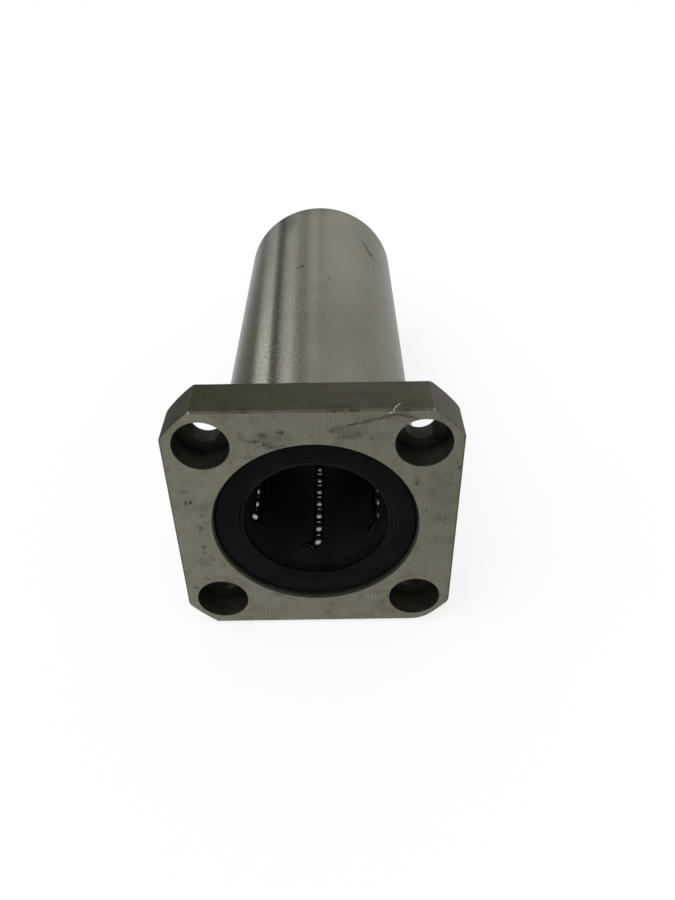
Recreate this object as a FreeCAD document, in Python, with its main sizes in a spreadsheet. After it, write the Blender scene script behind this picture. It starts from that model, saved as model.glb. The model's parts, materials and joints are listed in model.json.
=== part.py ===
import FreeCAD, Part
import math
import os

import Sketcher
from FreeCAD import Placement, Rotation, Vector

# Flanged linear ball bearing, long type, for a 30 mm shaft, in millimetres.
# +Y runs along the bore from the flange to the rear end and +Z is up.
# The origin is on the bore axis, on the flange's rear face.

SIZES = {
    # Shaft and the ball circuits around it
    "shaft_diameter": 30.0,
    "ball_diameter": 3.969,
    "circuit_count": 6,
    "shaft_play": 0.01,
    "land_play": 0.06,
    "ball_gap": 0.08,
    "channel_clearance": 0.15,
    "relief_clearance": 0.12,
    "relief_side_clearance": 0.3,
    "land_edge": 1.0,
    # Sleeve
    "overall_length": 123.0,
    "sleeve_wall": 3.461,
    "rear_edge": 0.8,
    "undercut_width": 2.0,
    "undercut_depth": 0.3,
    # Flange
    "flange_side": 58.0,
    "flange_thickness": 10.0,
    "corner_cut": 6.4,
    "flange_edge": 0.4,
    "bolt_inset": 7.7868,
    "bolt_hole_diameter": 6.6,
    "counterbore_diameter": 11.0,
    "counterbore_depth": 6.1,
    # Seals and their seats
    "seat_step": 0.88,
    "seat_mouth": 0.4,
    "seal_fit": 0.02,
    "seal_recess": 0.95,
    "seal_thickness": 2.2,
    "seal_edge": 0.35,
    "seal_back_bevel": 1.5,
    "lip_clearance": 0.04,
    "lip_depth": 0.7,
    "lip_land": 0.8,
    "lip_face": 0.5,
    "lip_bevel": 0.5,
    # Retaining rings and their grooves
    "ring_rib": 0.8,
    "ring_thickness": 1.2,
    "ring_play": 0.03,
    "ring_groove_depth": 0.9,
    "ring_width": 2.6,
    "ring_opening_angle": 24.0,
    # Ball cages
    "cage_bore_gap": 0.3,
    "cage_land_gap": 0.15,
    "cage_end_wall": 1.2,
    "cage_end_play": 0.1,
    "cage_middle_gap": 0.2,
    "cage_edge": 0.3,
    "channel_overrun": 0.5,
}

# Radii and places worked out from the sizes, written as sheet expressions
SHAFT_RADIUS = "sheet.shaft_diameter / 2"
BALL_RADIUS = "sheet.ball_diameter / 2"
LOAD_RADIUS = f"({SHAFT_RADIUS} + sheet.shaft_play + {BALL_RADIUS})"
LAND_RADIUS = f"({LOAD_RADIUS} + {BALL_RADIUS} + sheet.land_play)"
SLEEVE_RADIUS = f"({LAND_RADIUS} + sheet.sleeve_wall)"
# Two ball pitches make half a turn, so neighbours in a turn stand a quarter turn apart
TURN_RADIUS = "((sheet.ball_diameter + sheet.ball_gap) / sqrt(2))"
BALL_PITCH = f"(pi * {TURN_RADIUS} / 2)"
RETURN_RADIUS = f"sqrt({LOAD_RADIUS} ^ 2 + (2 * {TURN_RADIUS}) ^ 2)"
RELIEF_RADIUS = f"({RETURN_RADIUS} + {BALL_RADIUS} + sheet.relief_clearance)"
CHANNEL_RADIUS = f"({BALL_RADIUS} + sheet.channel_clearance)"
SEAT_RADIUS = f"({RELIEF_RADIUS} + sheet.seat_step)"
FLANGE_HALF = "(sheet.flange_side / 2)"
CORNER_RADIUS = f"sqrt({FLANGE_HALF} ^ 2 + ({FLANGE_HALF} - sheet.corner_cut) ^ 2)"
LIP_RADIUS = f"({SHAFT_RADIUS} + sheet.lip_clearance)"
RING_GROOVE_RADIUS = f"({LAND_RADIUS} + sheet.ring_groove_depth)"
CAGE_INNER_RADIUS = f"({SHAFT_RADIUS} + sheet.cage_bore_gap)"
CAGE_OUTER_RADIUS = f"({LAND_RADIUS} - sheet.cage_land_gap)"

FRONT_Y = "(-sheet.flange_thickness)"
REAR_Y = "(sheet.overall_length - sheet.flange_thickness)"
SEAT_DEPTH = "(sheet.seal_recess + sheet.seal_thickness)"
RING_GROOVE_START = f"({SEAT_DEPTH} + sheet.ring_rib)"
RING_START = f"({RING_GROOVE_START} + sheet.ring_play)"
RING_END = f"({RING_START} + sheet.ring_thickness)"
RING_GROOVE_END = f"({RING_END} + sheet.ring_play)"
CAGE_START = f"({RING_END} + sheet.cage_end_play)"
CAGE_LENGTH = f"((sheet.overall_length - 2 * {CAGE_START} - sheet.cage_middle_gap) / 2)"
ROW_ROOM = f"({CAGE_LENGTH} - 2 * ({TURN_RADIUS} + {CHANNEL_RADIUS} + sheet.cage_end_wall))"
ROW_LENGTH = f"(floor({ROW_ROOM} / {BALL_PITCH}) * {BALL_PITCH})"
CAGES = {
    "front": f"({FRONT_Y} + {CAGE_START})",
    "rear": f"({FRONT_Y} + {CAGE_START} + {CAGE_LENGTH} + sheet.cage_middle_gap)",
}
ENDS = {"front": (FRONT_Y, "+"), "rear": (REAR_Y, "-")}
# A bolt hole stands in each corner of the square flange
FLANGE_CORNERS = 4
# Two places closer than this are the same place
SAME_PLACE = 1e-6

doc = FreeCAD.newDocument("flanged_linear_bearing")
sheet = doc.addObject("Spreadsheet::Sheet", "sheet")
for row, (size_name, size) in enumerate(SIZES.items(), start=1):
    sheet.set(f"A{row}", size_name)
    sheet.set(f"B{row}", str(size))
    sheet.setAlias(f"B{row}", size_name)
doc.recompute()


def value(expression):
    """Work out a sheet expression as a plain number."""
    return float(sheet.evalExpression(expression))


def new_body(name):
    """Start the body of one sub-part."""
    body = doc.addObject("PartDesign::Body", name)
    body.Label = name
    return body


def origin_feature(body, role):
    """Find one of a body's own origin planes or axes by its role."""
    return next(item for item in body.Origin.OriginFeatures if item.Role == role)


def new_sketch(body, name, plane, place_y=None):
    """Start a sketch on an origin plane; place_y moves an XZ sketch along the bore."""
    sketch = body.newObject("Sketcher::SketchObject", name)
    sketch.AttachmentSupport = [(origin_feature(body, plane), "")]
    sketch.MapMode = "FlatFace"
    if place_y:
        sketch.setExpression("AttachmentOffset.Base.z", f"-{place_y}")
    return sketch


def bind(sketch, constraint, expression):
    """Add a size constraint and bind it to the sheet."""
    index = sketch.addConstraint(Sketcher.Constraint(*constraint, value(expression)))
    sketch.setExpression(f"Constraints[{index}]", expression)


def bind_point(sketch, geometry, end, place):
    """Hold a point of the sketch at a place given as two expressions."""
    bind(sketch, ("DistanceX", -1, 1, geometry, end), place[0])
    bind(sketch, ("DistanceY", -1, 1, geometry, end), place[1])


def vector(place):
    """Turn two expressions into a sketch point."""
    return Vector(value(place[0]), value(place[1]), 0)


def draw_polygon(sketch, places):
    """Draw a closed outline whose corners are each held by two expressions."""
    corners = [vector(place) for place in places]
    edges = [Part.LineSegment(a, b) for a, b in zip(corners, corners[1:] + corners[:1])]
    lines = sketch.addGeometry(edges)
    for here, after in zip(lines, lines[1:] + lines[:1]):
        sketch.addConstraint(Sketcher.Constraint("Coincident", here, 2, after, 1))
    for line, place in zip(lines, places):
        bind_point(sketch, line, 1, place)


def draw_circle(sketch, place, radius):
    """Draw a circle held by its centre and radius."""
    circle = sketch.addGeometry(Part.Circle(vector(place), Vector(0, 0, 1), value(radius)))
    bind_point(sketch, circle, 3, place)
    bind(sketch, ("Radius", circle), radius)


def draw_outline_with_arc(sketch, places, centre, radius, hold):
    """Draw a closed outline of straight lines, with an arc from the last point to the first.

    The arc runs counter-clockwise. It is held by its centre, its radius and one distance, across
    or up as hold says, to each of its end points.
    """
    corners = [vector(place) for place in places]
    middle = vector(centre)
    lines = sketch.addGeometry([Part.LineSegment(a, b) for a, b in zip(corners, corners[1:])])
    start, stop = (math.atan2(*(point - middle)[1::-1]) for point in (corners[-1], corners[0]))
    circle = Part.Circle(middle, Vector(0, 0, 1), value(radius))
    arc = sketch.addGeometry(Part.ArcOfCircle(circle, start, stop))
    for here, after in zip(lines, lines[1:]):
        sketch.addConstraint(Sketcher.Constraint("Coincident", here, 2, after, 1))
    sketch.addConstraint(Sketcher.Constraint("Coincident", lines[-1], 2, arc, 1))
    sketch.addConstraint(Sketcher.Constraint("Coincident", arc, 2, lines[0], 1))
    bind_point(sketch, arc, 3, centre)
    bind(sketch, ("Radius", arc), radius)
    along = ("DistanceX", "DistanceY").index(hold)
    bind(sketch, (hold, -1, 1, lines[0], 1), places[0][along])
    bind(sketch, (hold, -1, 1, lines[-1], 2), places[-1][along])
    for line, place in zip(lines[1:], places[1:]):
        bind_point(sketch, line, 1, place)


def add_feature(body, kind, name, sketch, expressions=None, **settings):
    """Add a sketch-based feature, with plain settings and settings bound to the sheet."""
    feature = body.newObject(f"PartDesign::{kind}", name)
    feature.Profile = sketch
    for key, setting in settings.items():
        setattr(feature, key, setting)
    for key, expression in (expressions or {}).items():
        feature.setExpression(key, expression)
    doc.recompute()
    return feature


def add_polar_pattern(body, name, originals, count):
    """Repeat features around the bore axis."""
    pattern = body.newObject("PartDesign::PolarPattern", name)
    pattern.Originals = originals
    pattern.Axis = (origin_feature(body, "Y_Axis"), [""])
    pattern.Angle = 360
    if isinstance(count, str):
        pattern.setExpression("Occurrences", count)
    else:
        pattern.Occurrences = count
    body.Tip = pattern
    doc.recompute()
    return pattern


def add_chamfer(body, name, base, wanted, size):
    """Break the base feature's edges that a test picks out."""
    edges = [f"Edge{i}" for i, edge in enumerate(base.Shape.Edges, start=1) if wanted(edge)]
    chamfer = body.newObject("PartDesign::Chamfer", name)
    chamfer.Base = (base, edges)
    chamfer.setExpression("Size", size)
    doc.recompute()
    return chamfer


def lies_across(edge, place):
    """Tell whether an edge lies in the plane across the bore at this place."""
    box = edge.BoundBox
    return abs(box.YMin - place) + abs(box.YMax - place) < SAME_PLACE


def draw_square(sketch, half):
    """Draw a square about the bore axis from half its side."""
    draw_polygon(sketch, [
        (f"-{half}", f"-{half}"),
        (half, f"-{half}"),
        (half, half),
        (f"-{half}", half),
    ])


def end_profile(end):
    """List the corners of the bore's wall from one end face to its plain land."""
    face, sign = ENDS[end]
    mouth = f"({SEAT_RADIUS} + sheet.seat_mouth)"
    steps = [
        ("0", mouth),
        ("sheet.seat_mouth", SEAT_RADIUS),
        (SEAT_DEPTH, SEAT_RADIUS),
        (SEAT_DEPTH, LAND_RADIUS),
        (RING_GROOVE_START, LAND_RADIUS),
        (RING_GROOVE_START, RING_GROOVE_RADIUS),
        (RING_GROOVE_END, RING_GROOVE_RADIUS),
        (RING_GROOVE_END, LAND_RADIUS),
    ]
    return [(f"({face} {sign} {depth})", radius) for depth, radius in steps]


def flanged_sleeve():
    """Turn, broach and drill the steel sleeve and its flange from one piece."""
    body = new_body("flanged_sleeve")

    outline = new_sketch(body, "flange_outline", "XZ_Plane")
    draw_square(outline, FLANGE_HALF)
    flange = add_feature(body, "Pad", "flange", outline, {"Length": "sheet.flange_thickness"})
    front = value(FRONT_Y)
    edges = add_chamfer(
        body,
        "flange_edges",
        flange,
        lambda edge: lies_across(edge, 0) or lies_across(edge, front),
        "sheet.flange_edge",
    )
    body.Tip = edges

    corners = new_sketch(body, "corner_outline", "XZ_Plane")
    draw_square(corners, "sheet.flange_side")
    draw_circle(corners, ("0", "0"), CORNER_RADIUS)
    add_feature(body, "Pocket", "turned_corners", corners, Type="ThroughAll", SideType="Symmetric")

    round_outline = new_sketch(body, "sleeve_outline", "XZ_Plane")
    draw_circle(round_outline, ("0", "0"), SLEEVE_RADIUS)
    sleeve = add_feature(body, "Pad", "sleeve", round_outline, {"Length": REAR_Y}, Reversed=True)
    rear = value(REAR_Y)
    add_chamfer(body, "rear_edge", sleeve, lambda edge: lies_across(edge, rear), "sheet.rear_edge")

    undercut = new_sketch(body, "undercut_outline", "YZ_Plane")
    floor = f"({SLEEVE_RADIUS} - sheet.undercut_depth)"
    ramp_end = "(sheet.undercut_width + sheet.undercut_depth)"
    clear = f"({SLEEVE_RADIUS} + sheet.undercut_depth)"
    draw_polygon(undercut, [
        ("0", floor),
        ("sheet.undercut_width", floor),
        (ramp_end, SLEEVE_RADIUS),
        (ramp_end, clear),
        ("0", clear),
    ])
    add_feature(body, "Groove", "undercut", undercut, ReferenceAxis=(undercut, ["H_Axis"]))

    wall = new_sketch(body, "bore_outline", "YZ_Plane")
    rear_wall = end_profile("rear")[::-1]
    draw_polygon(wall, [(FRONT_Y, "0"), *end_profile("front"), *rear_wall, (REAR_Y, "0")])
    add_feature(body, "Groove", "bore", wall, ReferenceAxis=(wall, ["H_Axis"]))

    slot = new_sketch(body, "relief_outline", "XZ_Plane")
    far_side = f"(2 * {TURN_RADIUS} + {CHANNEL_RADIUS} + sheet.relief_side_clearance)"
    arc_height = f"sqrt({RELIEF_RADIUS} ^ 2 - {{}} ^ 2)"
    slot_corners = [
        ("sheet.land_edge", arc_height.format("sheet.land_edge")),
        ("sheet.land_edge", BALL_RADIUS),
        (far_side, BALL_RADIUS),
        (far_side, arc_height.format(far_side)),
    ]
    draw_outline_with_arc(slot, slot_corners, ("0", "0"), RELIEF_RADIUS, "DistanceX")
    relief = add_feature(body, "Pocket", "relief", slot, Type="ThroughAll", SideType="Symmetric")
    add_polar_pattern(body, "reliefs", [relief], "sheet.circuit_count")

    place = f"({FLANGE_HALF} - sheet.bolt_inset)"
    centre = new_sketch(body, "bolt_place", "XZ_Plane", FRONT_Y)
    draw_circle(centre, (place, place), "sheet.bolt_hole_diameter / 2")
    doc.recompute()
    hole = add_feature(
        body,
        "Hole",
        "bolt_hole",
        centre,
        {
            "Diameter": "sheet.bolt_hole_diameter",
            "HoleCutDiameter": "sheet.counterbore_diameter",
            "HoleCutDepth": "sheet.counterbore_depth",
        },
        DepthType="ThroughAll",
        HoleCutType="Counterbore",
        HoleCutCustomValues=True,
    )
    add_polar_pattern(body, "bolt_holes", [hole], FLANGE_CORNERS)
    return body


def seal(end):
    """Mould a flat rubber end seal with one wiping lip."""
    face, sign = ENDS[end]
    outer = f"({SEAT_RADIUS} - sheet.seal_fit)"
    lip_end = "(sheet.lip_depth + sheet.lip_land)"
    crease = f"({LIP_RADIUS} + sheet.lip_face)"
    corners = [
        ("0", f"({outer} - sheet.seal_edge)"),
        ("sheet.seal_edge", outer),
        ("sheet.seal_thickness", outer),
        ("sheet.seal_thickness", f"({LIP_RADIUS} + sheet.seal_back_bevel)"),
        (lip_end, LIP_RADIUS),
        ("sheet.lip_depth", LIP_RADIUS),
        ("sheet.lip_depth", crease),
        ("0", f"({crease} + sheet.lip_bevel)"),
    ]
    body = new_body(f"{end}_seal")
    outline = new_sketch(body, f"{end}_seal_outline", "YZ_Plane")
    start = f"{face} {sign} sheet.seal_recess"
    draw_polygon(outline, [(f"({start} {sign} {depth})", radius) for depth, radius in corners])
    add_feature(body, "Revolution", f"{end}_seal_turn", outline, ReferenceAxis=(outline, ["H_Axis"]))
    return body


def retaining_ring(end):
    """Make the open spring ring that stops a cage from sliding out."""
    face, sign = ENDS[end]
    outer = f"({RING_GROOVE_RADIUS} - sheet.ring_play)"
    inner = f"({outer} - sheet.ring_width)"
    corners = [(RING_START, inner), (RING_END, inner), (RING_END, outer), (RING_START, outer)]
    body = new_body(f"{end}_retaining_ring")
    outline = new_sketch(body, f"{end}_ring_outline", "YZ_Plane")
    draw_polygon(outline, [(f"({face} {sign} {depth})", radius) for depth, radius in corners])
    add_feature(
        body,
        "Revolution",
        f"{end}_ring_turn",
        outline,
        {"Angle": "360 - sheet.ring_opening_angle"},
        ReferenceAxis=(outline, ["H_Axis"]),
        Midplane=True,
    )
    return body


def draw_channel(sketch, centre_x):
    """Draw a ball channel's section: round towards the shaft and open towards the sleeve."""
    left = f"({centre_x} - {CHANNEL_RADIUS})"
    right = f"({centre_x} + {CHANNEL_RADIUS})"
    top = f"({CAGE_OUTER_RADIUS} + sheet.channel_overrun)"
    corners = [(right, LOAD_RADIUS), (right, top), (left, top), (left, LOAD_RADIUS)]
    draw_outline_with_arc(sketch, corners, (centre_x, LOAD_RADIUS), CHANNEL_RADIUS, "DistanceY")


def row_ends(cage):
    """Give the places along the bore where a cage's straight ball rows start and end."""
    start = f"({CAGES[cage]} + ({CAGE_LENGTH} - {ROW_LENGTH}) / 2)"
    return start, f"({start} + {ROW_LENGTH})"


def ball_cage(cage):
    """Mould a ball cage: a tube with a closed racetrack channel for each ball circuit."""
    body = new_body(f"{cage}_ball_cage")
    ring = new_sketch(body, f"{cage}_tube_outline", "YZ_Plane")
    start = CAGES[cage]
    stop = f"({start} + {CAGE_LENGTH})"
    edge = "sheet.cage_edge"
    draw_polygon(ring, [
        (start, CAGE_INNER_RADIUS),
        (stop, CAGE_INNER_RADIUS),
        (stop, f"({CAGE_OUTER_RADIUS} - {edge})"),
        (f"({stop} - {edge})", CAGE_OUTER_RADIUS),
        (f"({start} + {edge})", CAGE_OUTER_RADIUS),
        (start, f"({CAGE_OUTER_RADIUS} - {edge})"),
    ])
    add_feature(body, "Revolution", f"{cage}_tube", ring, ReferenceAxis=(ring, ["H_Axis"]))

    row_start, row_stop = row_ends(cage)
    cuts = []
    for side, centre_x in {"load": "0", "return": f"(2 * {TURN_RADIUS})"}.items():
        row_outline = new_sketch(body, f"{cage}_{side}_row_outline", "XZ_Plane", row_start)
        draw_channel(row_outline, centre_x)
        length = {"Length": ROW_LENGTH}
        cuts.append(add_feature(body, "Pocket", f"{cage}_{side}_row", row_outline, length))
    for turn, place, backwards in (("front", row_start, False), ("rear", row_stop, True)):
        outline = new_sketch(body, f"{cage}_{turn}_turn_outline", "XZ_Plane", place)
        draw_channel(outline, "0")
        axis_ends = [Vector(value(TURN_RADIUS), height, 0) for height in (0, value(LOAD_RADIUS))]
        axis = outline.addGeometry(Part.LineSegment(*axis_ends), True)
        bind_point(outline, axis, 1, (TURN_RADIUS, "0"))
        bind_point(outline, axis, 2, (TURN_RADIUS, LOAD_RADIUS))
        doc.recompute()
        cuts.append(add_feature(
            body,
            "Groove",
            f"{cage}_{turn}_turn",
            outline,
            ReferenceAxis=(outline, ["Axis0"]),
            Angle=180,
            Reversed=backwards,
        ))
    add_polar_pattern(body, f"{cage}_circuits", cuts, "sheet.circuit_count")
    return body


def ball_group(name, places, turn):
    """Put one ball at each place of a circuit, turned about the bore axis, in one sub-part."""
    balls = []
    for number, place in enumerate(places, start=1):
        ball = doc.addObject("Part::Sphere", f"{name}_ball_{number}")
        ball.setExpression("Radius", BALL_RADIUS)
        ball.Placement = Placement(turn.multVec(place), turn)
        balls.append(ball)
    group = doc.addObject("Part::Compound", name)
    group.Label = name
    group.Links = balls
    return group


def ball_circuits(cage):
    """Fill each circuit of a cage with its load row, return row and two turns of balls.

    All the balls of a circuit lie in one plane, which touches the shaft side by side with the
    load row, so the balls lift off the shaft as they go round the turns.
    """
    pitch = value(BALL_PITCH)
    radius = value(TURN_RADIUS)
    height = value(LOAD_RADIUS)
    start, stop = (value(place) for place in row_ends(cage))
    count = round((stop - start) / pitch)
    quarter = [Vector(radius, 0, 0), Vector(0, radius, 0)]
    rear_middle = Vector(radius, stop, height)
    front_middle = Vector(radius, start, height)
    segments = {
        "load_balls": [Vector(0, start + i * pitch, height) for i in range(count)],
        "rear_turn_balls": [rear_middle - quarter[0], rear_middle + quarter[1]],
        "return_balls": [Vector(2 * radius, stop - i * pitch, height) for i in range(count)],
        "front_turn_balls": [front_middle + quarter[0], front_middle - quarter[1]],
    }
    groups = []
    circuits = int(sheet.circuit_count)
    for circuit in range(circuits):
        turn = Rotation(Vector(0, 1, 0), 360 * circuit / circuits)
        for segment, places in segments.items():
            groups.append(ball_group(f"{cage}_{segment}_{circuit + 1}", places, turn))
    return groups


parts = [flanged_sleeve()]
for end in ENDS:
    parts += [seal(end), retaining_ring(end)]
for cage in CAGES:
    parts += [ball_cage(cage), *ball_circuits(cage)]
doc.recompute()

failed = [item.Name for item in doc.Objects if {"Invalid", "Error"} & set(item.State)]
failed += [part.Label for part in parts if part.Shape.isNull() or not part.Shape.isValid()]
if failed:
    raise RuntimeError(f"These did not build: {failed}")

os.makedirs("parts", exist_ok=True)
for part in parts:
    part.Shape.exportStep(f"parts/{part.Label}.step")
    print(part.Label, len(part.Shape.Solids), round(part.Shape.Volume, 2))
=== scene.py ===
"""Looks of a flanged linear ball bearing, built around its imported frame.

Sizes are in millimetres and meshes are in metres, in the frame's own axes: +Y runs along the bore from the
flange to the rear end, +Z is up, and the origin is on the bore axis, on the flange's rear face.
"""

import json
import logging
import math
from collections.abc import Sequence
from dataclasses import dataclass
from enum import Enum, IntEnum
from typing import Any

import bmesh
import bpy
from mathutils import Matrix, Vector


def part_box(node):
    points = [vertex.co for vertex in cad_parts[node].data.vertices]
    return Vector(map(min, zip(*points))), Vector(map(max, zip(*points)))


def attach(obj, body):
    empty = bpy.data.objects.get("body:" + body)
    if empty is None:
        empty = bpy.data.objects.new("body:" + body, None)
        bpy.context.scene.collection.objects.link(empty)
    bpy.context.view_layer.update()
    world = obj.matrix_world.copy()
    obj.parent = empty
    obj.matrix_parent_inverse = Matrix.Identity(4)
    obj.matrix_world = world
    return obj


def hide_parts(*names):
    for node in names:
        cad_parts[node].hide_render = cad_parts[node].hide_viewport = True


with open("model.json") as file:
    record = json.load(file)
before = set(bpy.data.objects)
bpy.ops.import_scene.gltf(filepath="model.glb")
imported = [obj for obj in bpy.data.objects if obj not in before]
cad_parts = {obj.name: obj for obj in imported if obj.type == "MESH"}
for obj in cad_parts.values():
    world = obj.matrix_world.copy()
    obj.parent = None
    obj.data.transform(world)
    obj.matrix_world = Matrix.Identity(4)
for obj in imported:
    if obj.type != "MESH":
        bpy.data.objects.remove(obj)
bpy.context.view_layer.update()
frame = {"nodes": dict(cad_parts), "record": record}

MM = 0.001
BEARING_BODY = "bearing"
log = logging.getLogger("flanged_linear_bearing")

Colour = tuple[float, float, float]
Triple = tuple[float, float, float]
Point = tuple[float, float]
Ring = list[bmesh.types.BMVert]
Socket = bpy.types.NodeSocket
WHITE: Colour = (1.0, 1.0, 1.0)


def mount_size(mount: str, size: str) -> float:
    """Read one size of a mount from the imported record.

    Args:
        mount: Name of the mount.
        size: Key of the size, in millimetres.

    Returns:
        The size in millimetres.
    """
    found = next(item for item in frame["record"]["mounts"] if item["name"] == mount)
    return found["dims"][size]


def node_box(node: str) -> tuple[Vector, Vector]:
    """Give a CAD node's lowest and highest corner in millimetres."""
    low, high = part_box(node)
    return low / MM, high / MM


@dataclass(frozen=True)
class Pattern:
    """Noise on a surface: its spots to a unit of length, how finely they fray, and the span that shows."""

    scale: float
    detail: float
    low: float = 0.0
    high: float = 1.0


# Steel: the grain of its tool, soft clouds, fine speckle, brown blooms, crowds of specks, and the specks
GRAIN = Pattern(1.0, 3.0, 0.25, 0.75)
CLOUD = Pattern(1.0, 4.0, 0.3, 0.7)
SPECKLE = Pattern(1.0, 2.0, 0.3, 0.7)
BLOOM = Pattern(1.4, 3.0, 0.48, 0.72)
CROWD = Pattern(0.12, 2.0, 0.42, 0.66)
SPECK = Pattern(1.3, 3.0, 0.60, 0.72)
# Marks on steel: their frayed edges and the gaps in them
FRAY = Pattern(2.1, 5.0)
GAPS = Pattern(3.4, 3.0, 0.38, 0.62)
# Rubber and resin: the texture of the mould, a dusty haze and grains of dust
MOULD = Pattern(1.0, 3.0, 0.3, 0.7)
HAZE = Pattern(0.18, 5.0, 0.42, 0.72)
DUST = Pattern(2.6, 2.0, 0.70, 0.78)
# Where the blooms are read, so that they don't follow the clouds
BLOOM_PLACE: Triple = (31.0, 17.0, 5.0)


class Nodes:
    """Adds and links the nodes of one tree in few words."""

    NOISE_ROUGHNESS = 0.55

    def __init__(self, tree: bpy.types.NodeTree) -> None:
        """Start from a tree, emptied of its default nodes."""
        self.tree = tree
        tree.nodes.clear()

    def add(self, kind: str, inputs: dict[str | int, Any] | None = None, **settings: Any) -> bpy.types.Node:
        """Add one node.

        Args:
            kind: The node's type.
            inputs: Sockets by name or number, each with a value to set or an output to link.
            settings: Attributes of the node, such as its operation.

        Returns:
            The new node.
        """
        node = self.tree.nodes.new(kind)
        for name, setting in settings.items():
            setattr(node, name, setting)
        for name, given in (inputs or {}).items():
            self.give(node.inputs[name], given)
        return node

    def give(self, socket: Socket, given: Any) -> None:
        """Link an output to a socket, or set the socket to a value.

        Args:
            socket: The input socket.
            given: The output or the value.
        """
        if isinstance(given, Socket):
            self.tree.links.new(given, socket)
        else:
            socket.default_value = given

    def math(self, operation: str, *values: Any) -> Socket:
        """Add a math node and give its result."""
        return self.add("ShaderNodeMath", dict(enumerate(values)), operation=operation).outputs[0]

    def vector_math(self, operation: str, *values: Any) -> Socket:
        """Add a vector math node and give its vector."""
        return self.add("ShaderNodeVectorMath", dict(enumerate(values)), operation=operation).outputs[0]

    def axes(self, vector: Socket) -> bpy.types.bpy_prop_collection:
        """Split a vector and give its three measures by the names of their axes."""
        return self.add("ShaderNodeSeparateXYZ", {0: vector}).outputs

    def vector(self, *measures: Any) -> Socket:
        """Join up to three measures into a vector."""
        return self.add("ShaderNodeCombineXYZ", dict(enumerate(measures))).outputs[0]

    def place(self) -> Socket:
        """Give the place on the piece in millimetres."""
        spot = self.add("ShaderNodeTexCoord").outputs["Object"]
        return self.add("ShaderNodeVectorMath", {0: spot, "Scale": 1 / MM}, operation="SCALE").outputs[0]

    def noise(self, place: Socket, pattern: Pattern, size: float = 1.0) -> Socket:
        """Add a pattern's noise.

        Args:
            place: Where it is read.
            pattern: The pattern.
            size: How many times its own size the pattern has.

        Returns:
            The noise's value, about 0 to 1.
        """
        inputs = {
            "Vector": place,
            "Scale": pattern.scale / size,
            "Detail": pattern.detail,
            "Roughness": self.NOISE_ROUGHNESS,
        }
        return self.add("ShaderNodeTexNoise", inputs).outputs[0]

    def drawn(self, noise: Socket, pattern: Pattern, to_low: float, to_high: float) -> Socket:
        """Map the span of a pattern's noise that shows to a range of values."""
        return self.spread(noise, pattern.low, pattern.high, to_low, to_high)

    def spread(self, given: Socket, low: float, high: float, to_low: float, to_high: float,
               smooth: bool = False) -> Socket:
        """Map one range of values to another and clamp it.

        Args:
            given: The value to map.
            low: Start of the range that comes in.
            high: End of the range that comes in.
            to_low: What the start becomes.
            to_high: What the end becomes.
            smooth: Whether the ends are eased.

        Returns:
            The mapped value.
        """
        inputs = {0: given, 1: low, 2: high, 3: to_low, 4: to_high}
        easing = "SMOOTHSTEP" if smooth else "LINEAR"
        return self.add("ShaderNodeMapRange", inputs, interpolation_type=easing).outputs[0]

    def mix(self, share: Any, first: Any, second: Any, blend: str = "MIX") -> Socket:
        """Blend two colours.

        Args:
            share: How much of the second colour is laid over the first.
            first: The first colour.
            second: The second colour.
            blend: The way of blending.

        Returns:
            The blended colour.
        """
        node = self.add("ShaderNodeMix", data_type="RGBA", blend_type=blend)
        for name, given in (("Factor", share), ("A", first), ("B", second)):
            socket = next(s for s in node.inputs if s.name == name and s.enabled)
            self.give(socket, (*given, 1.0) if isinstance(given, tuple) else given)
        return next(s for s in node.outputs if s.enabled)

    def surface(self, shader: bpy.types.Node) -> None:
        """Make a shader the surface of the material."""
        self.add("ShaderNodeOutputMaterial", {"Surface": shader.outputs[0]})


def new_material(name: str) -> tuple[bpy.types.Material, Nodes]:
    """Start a material.

    Args:
        name: Name of the material.

    Returns:
        The material and its nodes, still empty.
    """
    material = bpy.data.materials.new(name)
    material.use_nodes = True
    return material, Nodes(material.node_tree)


def new_group(name: str, kind: str, inputs: dict[str, str], outputs: dict[str, str]) -> Nodes:
    """Start a node group.

    Args:
        name: Name of the group.
        kind: Type of its tree.
        inputs: Its inputs by name, each with the kind of value that it takes.
        outputs: Its outputs by name, each with the kind of value that it gives.

    Returns:
        The group's nodes, still empty.
    """
    group = bpy.data.node_groups.new(name, kind)
    for way, sockets in (("INPUT", inputs), ("OUTPUT", outputs)):
        for socket, value in sockets.items():
            group.interface.new_socket(name=socket, in_out=way, socket_type=f"NodeSocket{value}")
    return Nodes(group)


def add_object(name: str, data: bpy.types.ID) -> bpy.types.Object:
    """Put a new object into the scene.

    Args:
        name: Name of the object.
        data: Its mesh, lamp or camera.

    Returns:
        The object.
    """
    made = bpy.data.objects.new(name, data)
    bpy.context.scene.collection.objects.link(made)
    return made


class Layout(Enum):
    """How a surface is laid flat: which two measures lead, and which stands behind them."""

    FACE = "across and up, then along the bore"
    TOP = "across and along the bore, then up"
    ROUND = "around the bore and along it"


class MarkKind(Enum):
    """What a mark does to the steel's colour, as a colour to blend towards."""

    STAIN = (0.026, 0.022, 0.014)
    RUST = (0.078, 0.050, 0.030)
    BRIGHT = (0.40, 0.38, 0.31)


@dataclass(frozen=True)
class Mark:
    """A stain, rust bloom or nick, as an ellipse with a ragged edge on a surface laid flat.

    The edge fades between two shares of the half sizes. The fraying moves it by up to the fray reach, and the
    gaps take up to the gap depth out of the mark.
    """

    EDGE = (0.2, 1.15)
    FRAY_REACH = 1.2
    GAP_DEPTH = 0.65

    across: float
    along: float
    half_width: float
    half_height: float
    strength: float
    turn: float = 0.0
    kind: MarkKind = MarkKind.STAIN
    ragged: float = 1.0


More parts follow.
